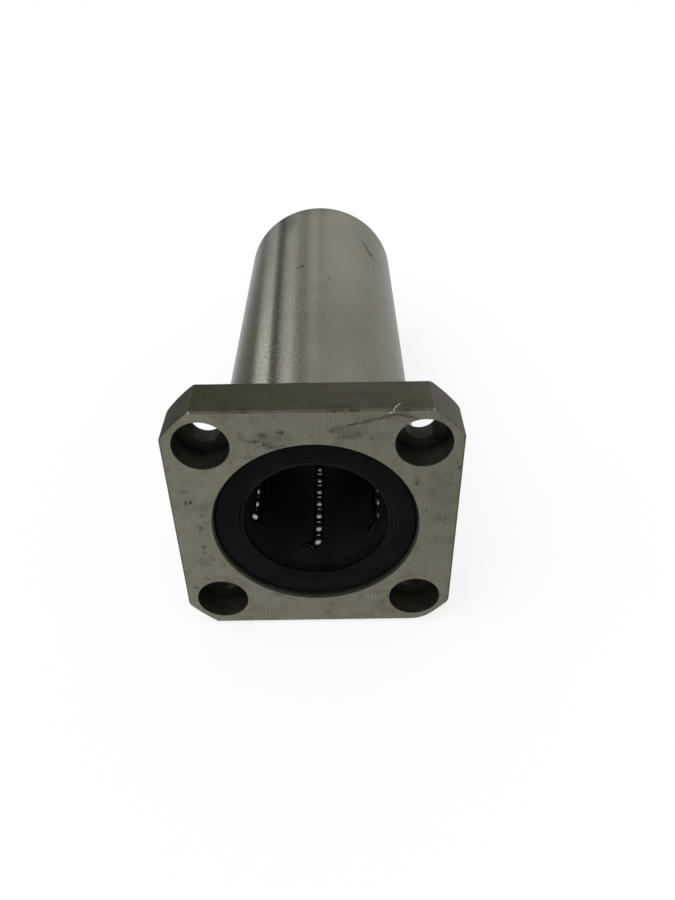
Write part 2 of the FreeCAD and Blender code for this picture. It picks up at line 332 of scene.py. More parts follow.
def mark_group() -> bpy.types.NodeTree:
    """Build the shared node group that draws one mark.

    Returns:
        The group, which takes a flat place and the mark's own values and gives the mark's share there.
    """
    name = "mark_mask"
    if name in bpy.data.node_groups:
        return bpy.data.node_groups[name]
    inputs = {
        "Place": "Vector",
        "Centre": "Vector",
        "Half Sizes": "Vector",
        "Turn": "Float",
        "Strength": "Float",
        "Ragged": "Float",
    }
    nodes = new_group(name, "ShaderNodeTree", inputs, {"Mask": "Float"})
    given = nodes.add("NodeGroupInput").outputs
    place = given["Place"]
    ragged = given["Ragged"]
    offset = nodes.vector_math("SUBTRACT", place, given["Centre"])
    turned = nodes.add(
        "ShaderNodeVectorRotate", {"Vector": offset, "Angle": given["Turn"]}, rotation_type="Z_AXIS",
    )
    unit = nodes.vector_math("DIVIDE", turned.outputs[0], given["Half Sizes"])
    length = nodes.add("ShaderNodeVectorMath", {0: unit}, operation="LENGTH").outputs["Value"]
    fray = nodes.math("MULTIPLY_ADD", nodes.noise(place, FRAY), 2 * Mark.FRAY_REACH, -Mark.FRAY_REACH)
    frayed = nodes.math("MULTIPLY_ADD", fray, ragged, length)
    body = nodes.spread(frayed, *Mark.EDGE, 1.0, 0.0, smooth=True)
    gaps = nodes.drawn(nodes.noise(place, GAPS), GAPS, Mark.GAP_DEPTH, 0.0)
    kept = nodes.math("SUBTRACT", 1.0, nodes.math("MULTIPLY", gaps, ragged))
    mask = nodes.math("MULTIPLY", nodes.math("MULTIPLY", body, kept), given["Strength"])
    nodes.add("NodeGroupOutput", {0: mask})
    return nodes.tree


@dataclass(frozen=True)
class SteelFinish:
    """A steel surface: its colour, gloss, the grain its tool left, and the marks on it.

    The colour is that of the surface's left end where the right end has its own; that blend across the part
    is painted light and shade.
    The metal is the share that dried oil leaves bare. The grain is the size of one scratch along each measure
    of the layout, and its contrast falls to its rest between the two places of the fade, where a fade is
    given; on the tube that fade is partly painted sparkle.
    The edge tint is how much of the plain reflection stays where the surface is seen at a slant, which dirt
    and oil hold down, and which painted shade holds down in the holes.
    """

    name: str
    colour: Colour
    roughness: float
    grain: Triple
    grain_contrast: float = 0.10
    grain_height: float = 0.006
    cloud_size: float = 5.0
    cloud_contrast: float = 0.10
    layout: Layout = Layout.FACE
    round_radius: float = 22.5
    anisotropy: float = 0.0
    blur_axis: Triple = (1.0, 0.0, 0.0)
    edge_tint: float = 0.5
    tint: Colour = (0.66, 0.57, 0.46)
    tint_share: float = 0.0
    speck_share: float = 0.0
    speckle: float = 0.0
    speckle_size: float = 0.33
    speckle_height: float = 0.0
    right_colour: Colour | None = None
    half_reach: float = 29.0
    grain_fade: Point | None = None
    grain_rest: float = 0.12
    metal: float = 1.0
    gloss_play: float = 0.04
    relief_share: float = 0.5
    marks: tuple[Mark, ...] = ()
    mark_level: float = 0.0
    mark_reach: float = 1e6

    def place(self, nodes: Nodes) -> Socket:
        """Give the place on the surface in millimetres, in the order of the layout.

        Args:
            nodes: The material's nodes.

        Returns:
            The place.
        """
        spot = nodes.place()
        if self.layout is Layout.TOP:
            return spot
        axes = nodes.axes(spot)
        if self.layout is Layout.FACE:
            return nodes.vector(axes["X"], axes["Z"], axes["Y"])
        around = nodes.math("MULTIPLY", nodes.math("ARCTAN2", axes["X"], axes["Z"]), self.round_radius)
        return nodes.vector(around, axes["Y"])

    def worn(self, nodes: Nodes, place: Socket, colour: Socket) -> Socket:
        """Lay brown blooms and small dark specks over a colour.

        Args:
            nodes: The material's nodes.
            place: The place on the surface in millimetres.
            colour: The clean colour.

        Returns:
            The worn colour.
        """
        if self.tint_share:
            bloom = nodes.noise(nodes.vector_math("ADD", place, BLOOM_PLACE), BLOOM, self.cloud_size)
            share = nodes.drawn(bloom, BLOOM, 0.0, self.tint_share)
            colour = nodes.mix(share, colour, self.tint, "MULTIPLY")
        if self.speck_share:
            crowd = nodes.drawn(nodes.noise(place, CROWD), CROWD, 0.0, self.speck_share)
            speck = nodes.drawn(nodes.noise(place, SPECK), SPECK, 0.0, 1.0)
            colour = nodes.mix(nodes.math("MULTIPLY", crowd, speck), colour, MarkKind.STAIN.value)
        return colour

    def marked(self, nodes: Nodes, place: Socket, colour: Socket) -> Socket:
        """Lay the marks over a colour.

        Args:
            nodes: The material's nodes.
            place: The place on the surface in millimetres.
            colour: The colour under the marks.

        Returns:
            The colour with its marks.
        """
        for mark in self.marks:
            inputs = {
                "Place": place,
                "Centre": (mark.across, mark.along, self.mark_level),
                "Half Sizes": (mark.half_width, mark.half_height, self.mark_reach),
                "Turn": math.radians(mark.turn),
                "Strength": mark.strength,
                "Ragged": mark.ragged,
            }
            mask = nodes.add("ShaderNodeGroup", inputs, node_tree=mark_group())
            colour = nodes.mix(mask.outputs[0], colour, mark.kind.value)
        return colour

    def lightness(self, nodes: Nodes, place: Socket, grain: Socket, fine: Socket) -> Socket:
        """Give how much lighter or darker than its colour the clean surface is.

        Args:
            nodes: The material's nodes.
            place: The place on the surface in millimetres.
            grain: The value of the grain's noise.
            fine: The value of the speckle's noise.

        Returns:
            The lightness, about 1.
        """
        streak = nodes.drawn(grain, GRAIN, -self.grain_contrast, self.grain_contrast)
        if self.grain_fade:
            fade = nodes.spread(nodes.axes(place)["X"], *self.grain_fade, 1.0, self.grain_rest)
            streak = nodes.math("MULTIPLY", streak, fade)
        cloud = nodes.noise(place, CLOUD, self.cloud_size)
        light = nodes.drawn(cloud, CLOUD, 1 - self.cloud_contrast, 1 + self.cloud_contrast)
        light = nodes.math("ADD", streak, light)
        if self.speckle:
            light = nodes.math("ADD", light, nodes.drawn(fine, SPECKLE, -self.speckle, self.speckle))
        return light

    def material(self) -> bpy.types.Material:
        """Build the material.

        Returns:
            The material, named for the finish.
        """
        material, nodes = new_material(self.name)
        place = self.place(nodes)
        grain = nodes.noise(nodes.vector_math("DIVIDE", place, self.grain), GRAIN)
        fine = nodes.noise(place, SPECKLE, self.speckle_size)
        plain: Any = self.colour
        if self.right_colour:
            rightward = nodes.spread(nodes.axes(place)["X"], -self.half_reach, self.half_reach, 0.0, 1.0)
            plain = nodes.mix(rightward, self.colour, self.right_colour)
        clean = nodes.vector_math("MULTIPLY", plain, self.lightness(nodes, place, grain, fine))
        relief = nodes.math("MULTIPLY", grain, self.grain_height)
        if self.speckle_height:
            relief = nodes.math("MULTIPLY_ADD", fine, self.speckle_height, relief)
        bump = nodes.add("ShaderNodeBump", {"Strength": self.relief_share, "Distance": MM, "Height": relief})
        inputs = {
            "Base Color": self.marked(nodes, place, self.worn(nodes, place, clean)),
            "Metallic": self.metal,
            "Roughness": nodes.drawn(
                grain, GRAIN, self.roughness - self.gloss_play, self.roughness + self.gloss_play,
            ),
            "Specular Tint": (self.edge_tint, self.edge_tint, self.edge_tint, 1.0),
            "Anisotropic": self.anisotropy,
            "Normal": bump.outputs[0],
        }
        if self.anisotropy:
            inputs["Tangent"] = nodes.vector(*self.blur_axis)
        nodes.surface(nodes.add("ShaderNodeBsdfPrincipled", inputs))
        return material


@dataclass(frozen=True)
class MouldedFinish:
    """A moulded rubber or resin surface: its colour, gloss and the fine texture of its mould."""

    name: str
    colour: Colour
    dust: Colour
    roughness: float
    specular: float
    grain_size: float
    grain_height: float
    dust_share: float = 0.5
    gloss_play: float = 0.06
    relief_share: float = 0.4

    def material(self) -> bpy.types.Material:
        """Build the material.

        Returns:
            The material, named for the finish.
        """
        material, nodes = new_material(self.name)
        place = nodes.place()
        grain = nodes.noise(place, MOULD, self.grain_size)
        haze = nodes.drawn(nodes.noise(place, HAZE), HAZE, 0.0, 1.0)
        dust = nodes.drawn(nodes.noise(place, DUST), DUST, 0.0, self.dust_share)
        bump = nodes.add(
            "ShaderNodeBump",
            {"Strength": self.relief_share, "Distance": self.grain_height * MM, "Height": grain},
        )
        inputs = {
            "Base Color": nodes.mix(nodes.math("MAXIMUM", haze, dust), self.colour, self.dust),
            "Roughness": nodes.drawn(
                grain, MOULD, self.roughness - self.gloss_play, self.roughness + self.gloss_play,
            ),
            "Specular IOR Level": self.specular,
            "Normal": bump.outputs[0],
        }
        nodes.surface(nodes.add("ShaderNodeBsdfPrincipled", inputs))
        return material


Finish = SteelFinish | MouldedFinish


def shared_material(finish: Finish) -> bpy.types.Material:
    """Give a finish's material, built on first use."""
    return bpy.data.materials.get(finish.name) or finish.material()


FRONT_FACE_MARKS = (
    # Smudges above the seal, left of the middle
    Mark(-8.4, 22.6, 4.6, 2.8, 0.32),
    Mark(-11.0, 22.2, 1.6, 0.6, 0.9, -6.0),
    Mark(-9.3, 23.5, 1.2, 1.0, 0.8),
    Mark(-8.9, 21.4, 1.1, 0.8, 0.8),
    Mark(-7.6, 20.7, 1.8, 0.6, 0.8),
    Mark(-5.8, 24.1, 1.3, 0.7, 0.95, 12.0),
    Mark(-6.2, 22.9, 0.9, 0.8, 0.65, kind=MarkKind.RUST),
    Mark(-5.6, 20.9, 0.9, 0.6, 0.6),
    Mark(-13.4, 23.2, 1.0, 1.4, 0.5),
    Mark(-12.4, 18.4, 2.0, 0.8, 0.4, -8.0),
    # The edge of a dried oil stain, running up to the right, and the dull steel below it
    Mark(6.6, 24.0, 4.4, 2.1, 0.36),
    Mark(15.0, 27.3, 5.5, 1.5, 0.34, kind=MarkKind.RUST),
    Mark(4.3, 24.7, 1.9, 0.9, 0.55, -24.0),
    Mark(7.7, 25.8, 2.1, 0.5, 0.85, -16.0),
    Mark(10.2, 26.5, 2.0, 0.5, 0.85, -20.0),
    Mark(13.3, 27.3, 2.3, 0.45, 0.9, -16.0),
    Mark(15.9, 27.9, 1.7, 0.4, 0.9, -6.0),
    Mark(18.0, 27.4, 2.1, 0.45, 0.9, 14.0),
    Mark(6.4, 23.0, 1.7, 0.8, 0.45),
    Mark(8.6, 23.4, 1.4, 0.9, 0.45),
    Mark(3.55, 27.5, 0.16, 1.3, 0.45),
    # Spots left of the bore
    Mark(-24.8, 7.3, 0.5, 0.65, 1.0, ragged=0.3),
    Mark(-25.8, 7.2, 0.35, 0.75, 0.9, ragged=0.3),
    Mark(-22.4, 5.7, 1.4, 1.6, 0.55, kind=MarkKind.RUST),
    Mark(-22.9, 3.7, 1.0, 0.8, 0.75, kind=MarkKind.RUST),
    Mark(-28.2, 15.8, 0.7, 1.1, 0.6, kind=MarkKind.RUST),
    Mark(-25.8, 9.9, 1.1, 0.6, 0.5),
    Mark(-23.6, 0.3, 0.7, 0.7, 0.8),
    Mark(-23.6, -5.1, 0.8, 0.7, 0.9),
    Mark(-23.6, -6.7, 0.5, 0.9, 0.6),
    Mark(-22.0, -8.8, 0.8, 0.6, 0.6),
    Mark(-19.9, -10.7, 0.6, 0.6, 0.6),
    Mark(-24.2, -14.6, 0.6, 0.7, 0.6),
    Mark(-26.8, -17.4, 1.0, 0.6, 0.7, 30.0),
    # Right of the bore
    Mark(20.3, 11.6, 1.0, 1.1, 0.6, kind=MarkKind.RUST),
    Mark(20.4, 11.2, 0.4, 0.6, 0.7),
    Mark(21.5, -6.6, 0.7, 0.8, 0.5, kind=MarkKind.RUST),
    Mark(28.3, 15.3, 0.45, 0.8, 1.0),
    Mark(22.5, 4.2, 0.4, 0.5, 0.5),
    # Below the bore
    Mark(-8.6, -20.2, 2.4, 0.6, 0.6, 22.0),
    Mark(-5.8, -21.4, 1.6, 0.5, 0.5),
    Mark(14.4, -23.0, 0.9, 0.8, 0.5),
    Mark(-15.6, -27.6, 0.9, 0.5, 0.45),
    # Lighter between the left holes, and darker on the right and along the bottom
    Mark(-21.0, 13.0, 8.0, 7.0, 0.06, kind=MarkKind.BRIGHT),
    Mark(25.0, 12.0, 5.0, 8.0, 0.14),
    Mark(-24.0, -17.0, 6.0, 8.0, 0.10),
    Mark(0.0, -27.6, 13.0, 2.2, 0.10),
    # A light scratch that runs over the upper edge
    Mark(14.62, 28.34, 0.5, 0.2, 1.0, -8.5, MarkKind.BRIGHT, 0.1),
)

EDGE_MARKS_AND_GLINTS = (
    Mark(15.2, 28.8, 0.18, 0.8, 1.0, 19.0, MarkKind.BRIGHT, 0.1),
    # Painted highlights: bright spots where the upper edge turns into the corner arcs
    Mark(-22.6, 28.8, 0.28, 0.5, 1.0, kind=MarkKind.BRIGHT),
    Mark(22.6, 28.8, 0.2, 0.5, 0.8, kind=MarkKind.BRIGHT),
    Mark(4.6, 28.8, 2.6, 0.6, 0.8),
    Mark(8.0, 28.8, 1.4, 0.6, 0.9),
    Mark(17.5, 28.8, 4.0, 0.6, 0.6),
    Mark(-12.6, 28.8, 1.6, 0.6, 0.7),
)

TOP_SIDE_MARKS = (
    Mark(5.6, -8.6, 3.4, 0.9, 0.6),
    Mark(15.5, -8.4, 6.0, 0.7, 0.45),
    Mark(13.5, -4.5, 2.2, 2.2, 0.5, kind=MarkKind.RUST),
    Mark(18.0, -6.0, 2.6, 1.8, 0.45, kind=MarkKind.RUST),
    Mark(-12.8, -9.0, 2.2, 0.6, 0.5),
    Mark(15.64, -9.0, 0.2, 0.7, 1.0, 29.0, MarkKind.BRIGHT, 0.1),
    Mark(16.18, -8.26, 0.18, 0.55, 1.0, 46.0, MarkKind.BRIGHT, 0.1),
)

CORNER_SHADE_MARKS = (
    # A painted shadow line along the front edge of the right corner, where its broken edge lies in shade
    Mark(26.2, -10.0, 3.6, 0.6, 0.85, ragged=0.4),
)

TUBE_MARKS = (
    # A nick left of the middle, and pits beside it
    Mark(-5.6, 68.9, 0.5, 0.5, 0.9, ragged=0.3),
    Mark(-4.3, 69.3, 1.1, 0.55, 1.0, -29.0, ragged=0.2),
    Mark(2.6, 62.7, 0.4, 0.7, 0.45, ragged=0.2),
    Mark(3.2, 61.3, 0.45, 0.8, 0.6, ragged=0.2),
    Mark(9.9, 82.2, 0.4, 0.8, 0.4, ragged=0.2),
    # A scrape on the right
    Mark(14.9, 92.8, 3.6, 1.0, 0.8, 64.0, ragged=0.3),
    Mark(16.6, 89.6, 2.1, 1.6, 1.0, 58.0, ragged=0.3),
    Mark(19.6, 87.4, 2.6, 0.9, 0.7, 14.0, ragged=0.2),
    # A paler stretch in the rear half, and a duller one nearer the flange
    Mark(8.0, 73.0, 17.0, 22.0, 0.09, kind=MarkKind.BRIGHT, ragged=0.1),
    Mark(5.0, 36.0, 10.0, 15.0, 0.10, ragged=0.1),
    # Old oil at the rear end
    Mark(-9.4, 105.0, 2.8, 9.0, 0.45, ragged=0.3),
    Mark(-3.0, 111.0, 12.0, 2.5, 0.3),
    Mark(24.0, 108.0, 6.0, 4.0, 0.3),
)

# Real grinding grain, with painted sparkle: its colour contrast is full only on the tube's left, where it
# mirrors the bright strips, and falls away to the right.
TUBE_STEEL = SteelFinish(
    "ground_tube_steel", (0.199, 0.1905, 0.1465), roughness=0.20, grain=(0.9, 0.5, 1.0), grain_contrast=0.33,
    grain_height=0.002, grain_fade=(-10.0, 0.0), cloud_size=13.0, cloud_contrast=0.07, layout=Layout.ROUND,
    anisotropy=0.90, blur_axis=(0.0, 1.0, 0.0), edge_tint=0.56, speck_share=0.3, speckle=0.07,
    speckle_size=0.6, speckle_height=0.035, marks=TUBE_MARKS,
)
FACE_STEEL = SteelFinish(
    "ground_face_steel", (0.140, 0.135, 0.106), roughness=0.38, grain=(0.34, 8.0, 8.0), cloud_contrast=0.09,
    anisotropy=0.4, tint_share=0.5, speck_share=0.6, speckle=0.08, marks=FRONT_FACE_MARKS,
)
BACK_STEEL = SteelFinish(
    "ground_back_steel", (0.138, 0.131, 0.103), roughness=0.38, grain=(6.0, 0.25, 6.0), grain_contrast=0.12,
    cloud_size=6.0, cloud_contrast=0.08, tint_share=0.4,
)
# Painted shade and light: the flange's sides are coloured far darker than the face, darkest on the left and
# lighter towards the right. This stands in for the dim room they mirror and the way light falls across them;
# their brown blooms and marks are real.
SIDE_STEEL_PAINTED_SHADE = SteelFinish(
    "side_steel_with_painted_shade", (0.046, 0.045, 0.028), right_colour=(0.086, 0.081, 0.061), roughness=0.44,
    grain=(1.2, 0.3, 1.2), layout=Layout.TOP, tint_share=0.4, marks=TOP_SIDE_MARKS, mark_level=29.0,
    mark_reach=10.0,
)
# Painted light: the turned corners are coloured lighter towards the right, like the sides, for the way light
# falls across them; their brown blooms are real.
CORNER_STEEL = SteelFinish(
    "turned_corner_steel_painted_light", (0.094, 0.089, 0.063), right_colour=(0.114, 0.107, 0.086), roughness=0.40,
    grain=(2.5, 0.3, 2.5), cloud_contrast=0.08, layout=Layout.TOP, tint_share=0.3, marks=CORNER_SHADE_MARKS,
    mark_level=26.0, mark_reach=8.0,
)
EDGE_STEEL = SteelFinish(
    "milled_edge_steel", (0.102, 0.094, 0.070), roughness=0.42, grain=(0.5, 0.5, 0.5), grain_contrast=0.14,
    cloud_size=2.5, cloud_contrast=0.16, tint_share=0.3, marks=EDGE_MARKS_AND_GLINTS,
)
# Painted shade: the bore's mouth chamfer is coloured far darker than the face, for the shade in the recess
# around the seal.
MOUTH_STEEL = SteelFinish(
    "turned_mouth_steel_painted_shade", (0.032, 0.030, 0.024), roughness=0.42, grain=(0.5, 0.5, 0.5), grain_height=0.004,
    cloud_size=3.0,
)
# Oily steel, with painted shade: the bolt holes and the seal's seat wall are coloured dark for the shade in
# these recesses and the shadowed gap around the seal. Their low edge tint holds down slanting reflections
# there too.
HOLE_STEEL_AND_SHADE = SteelFinish(
    "oiled_hole_steel_and_painted_shade", (0.036, 0.032, 0.024), roughness=0.50, grain=(2.0, 2.0, 0.25), grain_contrast=0.20,
    grain_height=0.008, cloud_size=3.0, cloud_contrast=0.25, tint_share=0.5, edge_tint=0.05, metal=0.6,
)
BORE_STEEL = SteelFinish(
    "oiled_bore_steel", (0.060, 0.057, 0.047), roughness=0.36, grain=(0.4, 0.4, 6.0), grain_height=0.005,
    cloud_size=6.0,
)
BALL_STEEL = SteelFinish(
    "polished_ball_steel", (0.34, 0.33, 0.30), roughness=0.27, grain=(0.6, 0.6, 0.6), grain_contrast=0.03,
    grain_height=0.0005, cloud_size=2.0, cloud_contrast=0.05, edge_tint=1.0,
)
RING_STEEL = SteelFinish(
    "spring_ring_steel", (0.15, 0.14, 0.12), roughness=0.36, grain=(0.3, 0.3, 2.0), grain_contrast=0.08,
    grain_height=0.003, cloud_size=4.0, cloud_contrast=0.08,
)
SEAL_RUBBER = MouldedFinish(
    "black_seal_rubber", (0.0025, 0.0029, 0.0028), dust=(0.0048, 0.0054, 0.0051), roughness=0.48,
    specular=0.026, grain_size=0.35, grain_height=0.012,
)
LIP_RUBBER = MouldedFinish(
    "oiled_lip_rubber", (0.0016, 0.0018, 0.0018), dust=(0.0034, 0.0038, 0.0036), roughness=0.26,
    specular=0.045, grain_size=0.35, grain_height=0.006,
)
CAGE_RESIN = MouldedFinish(
    "black_cage_resin", (0.0090, 0.0090, 0.0095), dust=(0.016, 0.016, 0.015), roughness=0.42,
    specular=0.12, grain_size=0.5, grain_height=0.010,
)


class MeshMaker:
    """Collects points and faces, in millimetres, into one closed mesh."""

    SAME_PLACE = 5
    SHARP_ANGLE = math.radians(28.0)

    def __init__(self) -> None:
        """Start with nothing."""
        self.mesh = bmesh.new()
        self.points: dict[tuple[float, ...], bmesh.types.BMVert] = {}

    def point(self, place: Sequence[float]) -> bmesh.types.BMVert:
        """Give the vertex at a place, made on first use.

        Args:
            place: The place in millimetres.

        Returns:
            The vertex.
        """
        key = tuple(round(number, self.SAME_PLACE) + 0.0 for number in place)
        if key not in self.points:
            self.points[key] = self.mesh.verts.new(Vector(place) * MM)
        return self.points[key]

    def ring(self, outline: Sequence[Point], along: float) -> Ring:
        """Place a closed outline, given as X and Z, at one place along the bore."""
        return [self.point((x, along, z)) for x, z in outline]

    def band(self, first: Ring, second: Ring, finish: int) -> None:
        """Join two rings of as many points by a band of faces.

        Args:
            first: One ring.
            second: The other ring.
            finish: Number of the material.
        """
        count = len(first)
        for here in range(count):
            after = (here + 1) % count
            corners = list(dict.fromkeys([first[here], first[after], second[after], second[here]]))
            if len(corners) > 2:
                self.mesh.faces.new(corners).material_index = finish

    def wall(self, rings: Sequence[Ring], finish: int) -> None:
        """Join each ring to the next."""
        for first, second in zip(rings, rings[1:]):
            self.band(first, second, finish)

    def turned(
        self, profile: Sequence[Point], steps: int, finish: int, centre: Point = (0.0, 0.0),
    ) -> list[Ring]:
        """Turn a profile about an axis along the bore.

        Args:
            profile: Its points, as pairs of a radius and a place along the bore.
            steps: How many points a ring has.
            finish: Number of the material.
            centre: Where the axis stands across the bore.

        Returns:
            The wall's rings.
        """
        rings = [self.ring(circle(radius, steps, centre), along) for radius, along in profile]
        self.wall(rings, finish)
        return rings

    def cap(self, rings: Sequence[Ring], finish: int) -> None:
        """Fill the flat face between an outer ring and the rings of its holes.

        Args:
            rings: The outer ring and those of the holes.
            finish: Number of the material.
        """
        edges = []
        for ring in rings:
            for first, second in zip(ring, ring[1:] + ring[:1]):
                edge = self.mesh.edges.get((first, second))
                edges.append(edge or self.mesh.edges.new((first, second)))
        made = bmesh.ops.triangle_fill(self.mesh, use_beauty=True, use_dissolve=False, edges=edges)
        for item in made["geom"]:
            if isinstance(item, bmesh.types.BMFace):
                item.material_index = finish

    def piece(self, name: str, finishes: Sequence[bpy.types.Material]) -> bpy.types.Object:
        """Turn the collected faces into an object of the scene.

        Args:
            name: Name of the piece.
            finishes: Its materials, in the order of their numbers.

        Returns:
            The object.
        """
        bmesh.ops.recalc_face_normals(self.mesh, faces=self.mesh.faces[:])
        for face in self.mesh.faces:
            face.smooth = True
        data = bpy.data.meshes.new(name)
        self.mesh.to_mesh(data)
        self.mesh.free()
        data.set_sharp_from_angle(angle=self.SHARP_ANGLE)
        for finish in finishes:
            data.materials.append(finish)
        return add_object(name, data)


def circle(radius: float, count: int, centre: Point = (0.0, 0.0)) -> list[Point]:
    """Give the points of a circle across the bore."""
    turns = [2 * math.pi * i / count for i in range(count)]
    return [(centre[0] + radius * math.sin(turn), centre[1] + radius * math.cos(turn)) for turn in turns]


def arc(radius: float, start: float, stop: float, count: int) -> list[Point]:
    """Give the points of an arc about the bore axis, ends included, its angles measured from +Z to +X."""
    turns = [start + (stop - start) * i / count for i in range(count + 1)]
    return [(radius * math.sin(turn), radius * math.cos(turn)) for turn in turns]


def declare(piece: bpy.types.Object, node: str, body: str = BEARING_BODY) -> None:
    """Tie a piece to its body, hide the node it stands for, and report it.

    Args:
        piece: The finished piece.
        node: The CAD node that it replaces.
        body: The body it rides on.
    """
    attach(piece, body)
    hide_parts(node)
    log.info("%s: %d faces for %s on %s", piece.name, len(piece.data.polygons), node, body)


class SleeveFace(IntEnum):
    """The sleeve's surfaces, numbered in the order of its finishes."""

    TUBE = 0
    FACE = 1
    BACK = 2
    SIDE = 3
    CORNER = 4
    EDGE = 5
    MOUTH = 6
    HOLE = 7
    BORE = 8


SLEEVE_FINISHES = (
    TUBE_STEEL, FACE_STEEL, BACK_STEEL, SIDE_STEEL_PAINTED_SHADE, CORNER_STEEL, EDGE_STEEL, MOUTH_STEEL, HOLE_STEEL_AND_SHADE,
    BORE_STEEL,
)


@dataclass
class FlangedSleeve:
    """The steel sleeve and its flange, one piece, with its broached bore and counterbored bolt holes."""

    node: str = "flanged_sleeve"
    corner_cut: float = 6.4
    worn_corner: int = 1
    worn_reach: float = 2.5
    worn_steps: int = 6
    flange_edge: float = 0.4
    counterbore_radius: float = 5.5
    counterbore_depth: float = 6.1
    hole_edge: float = 0.1
    undercut_width: float = 2.0
    undercut_depth: float = 0.3
    rear_edge: float = 0.8
    seat_mouth: float = 0.4
    seal_fit: float = 0.02
    ring_play: float = 0.03
    cage_land_gap: float = 0.15
    relief_depth: float = 0.9985
    relief_start: float = 1.0
    relief_stop: float = 8.1607
    reliefs: int = 6
    bolts: int = 4
    corner_steps: int = 14
    round_steps: int = 192
    hole_steps: int = 72
    relief_steps: int = 12
    land_steps: int = 18
    slanted: float = 0.2
    straight: float = 0.01

    def __post_init__(self) -> None:
        """Take the sizes that the frame gives."""
        low, high = node_box(self.node)
        self.half = high.x
        self.front = low.y
        self.rear = high.y
        self.radius = mount_size("sleeve_outside", "r_mm")
        self.bolt_circle = mount_size("flange_bolts", "pcd_mm") / 2
        self.bolt_radius = mount_size("flange_bolts", "hole_r_mm")
        self.seat_radius = node_box("front_seal")[1].x + self.seal_fit
        self.land_radius = node_box("front_ball_cage")[1].z + self.cage_land_gap
        self.groove_radius = node_box("front_retaining_ring")[1].z + self.ring_play

    def flange_outline(self, inset: float) -> list[Point]:
        """Give the flange's outline: a square, smaller by the inset, cut by the turned corners.

        Args:
            inset: How far the square's sides stand back.

        Returns:
            The outline's points.
        """
        radius = math.hypot(self.half, self.half - self.corner_cut)
        reach = math.acos((self.half - inset) / radius)
        quarter = math.pi / 2
        outline: list[Point] = []
        for corner in range(self.bolts):
            middle = quarter * (corner + 0.5)
            spread = quarter / 2 - reach
            stop = middle + spread
            if corner != self.worn_corner:
                outline += arc(radius, middle - spread, stop, self.corner_steps)
                continue
            rounded = stop - self.worn_reach / radius
            outline += arc(radius, middle - spread, rounded, self.corner_steps)
            outline += self.worn_curve(Vector(outline[-1]), Vector(arc(radius, stop, stop, 1)[0]))
        return outline

    def worn_curve(self, start: Vector, corner: Vector) -> list[Point]:
        """Give the curve that wear has left of the lower right corner, from its arc to the straight side.

        Args:
            start: Where the arc ends.
            corner: Where the sharp corner was.

        Returns:
            The curve's points after the start.
        """
        stop = corner + Vector((-self.worn_reach, 0.0))
        shares = [step / self.worn_steps for step in range(1, self.worn_steps + 1)]
        return [tuple(start.lerp(corner, share).lerp(corner.lerp(stop, share), share)) for share in shares]

    def bore_section(self, radius: float) -> list[Point]:
        """Give the bore's section where its reliefs are.

        Args:
            radius: Radius of the lands between the reliefs.

        Returns:
            The section's points.
        """
        relief_radius = self.land_radius + self.relief_depth
        step = 2 * math.pi / self.reliefs
        section: list[Point] = []
        for number in range(self.reliefs):
            turn = number * step
            inner = [math.asin(side / radius) for side in (self.relief_start, self.relief_stop)]
            outer = [math.asin(side / relief_radius) for side in (self.relief_start, self.relief_stop)]
            section += arc(relief_radius, turn + outer[0], turn + outer[1], self.relief_steps)
            section += arc(radius, turn + inner[1], turn + step + inner[0], self.land_steps)
        return section

    def bolt_places(self) -> list[Point]:
        """Work out where the bolt holes are.

        Returns:
            Their centres across the bore.
        """
        step = 2 * math.pi / self.bolts
        turns = [step * (number + 0.5) for number in range(self.bolts)]
        return [(self.bolt_circle * math.sin(turn), self.bolt_circle * math.cos(turn)) for turn in turns]

    def bolt_hole(self, maker: MeshMaker, centre: Point) -> tuple[Ring, Ring]:
        """Make the wall of one counterbored hole.

        Args:
            maker: The sleeve's mesh.
            centre: The hole's centre across the bore.

        Returns:
            Its rings in the front and the rear face of the flange.
        """
        floor = self.front + self.counterbore_depth
        edge = self.hole_edge
        profile = (
            (self.counterbore_radius + edge, self.front),
            (self.counterbore_radius, self.front + edge),
            (self.counterbore_radius, floor),
            (self.bolt_radius + edge, floor),
            (self.bolt_radius, floor + edge),
            (self.bolt_radius, -edge),
            (self.bolt_radius + edge, 0.0),
        )
        rings = maker.turned(profile, self.hole_steps, SleeveFace.HOLE, centre)
        return rings[0], rings[-1]

    def end_rings(
        self, maker: MeshMaker, face: float, inward: int, seal: str, ring: str,
    ) -> tuple[Ring, Ring]:
        """Make the stepped wall of one end of the bore.

        Args:
            maker: The sleeve's mesh.
            face: Place of the end face along the bore.
            inward: 1 or -1, the direction from the face into the bore.
            seal: Node of the seal that sits there.
            ring: Node of the retaining ring that sits there.

        Returns:
            The mouth's ring in the end face and the ring of the plain land.
        """
        seal_low, seal_high = node_box(seal)
        ring_low, ring_high = node_box(ring)
        floor = seal_high.y if inward > 0 else seal_low.y
        groove = [ring_low.y - self.ring_play, ring_high.y + self.ring_play][::inward]
        mouth = maker.ring(circle(self.seat_radius + self.seat_mouth, self.round_steps), face)
        seat = maker.ring(circle(self.seat_radius, self.round_steps), face + inward * self.seat_mouth)
        seat_floor = maker.ring(circle(self.seat_radius, self.round_steps), floor)
        maker.band(mouth, seat, SleeveFace.MOUTH)
        # The seat wall takes the holes' dark finish: painted shade for the gap around the seal.
        maker.band(seat, seat_floor, SleeveFace.HOLE)
        land = self.bore_section(self.land_radius)
        deep = self.bore_section(self.groove_radius)
        rings = [
            maker.ring(land, floor),
            maker.ring(land, groove[0]),
            maker.ring(deep, groove[0]),
            maker.ring(deep, groove[1]),
            maker.ring(land, groove[1]),
        ]
        maker.cap([seat_floor, rings[0]], SleeveFace.BORE)
        maker.wall(rings, SleeveFace.BORE)
        return mouth, rings[-1]

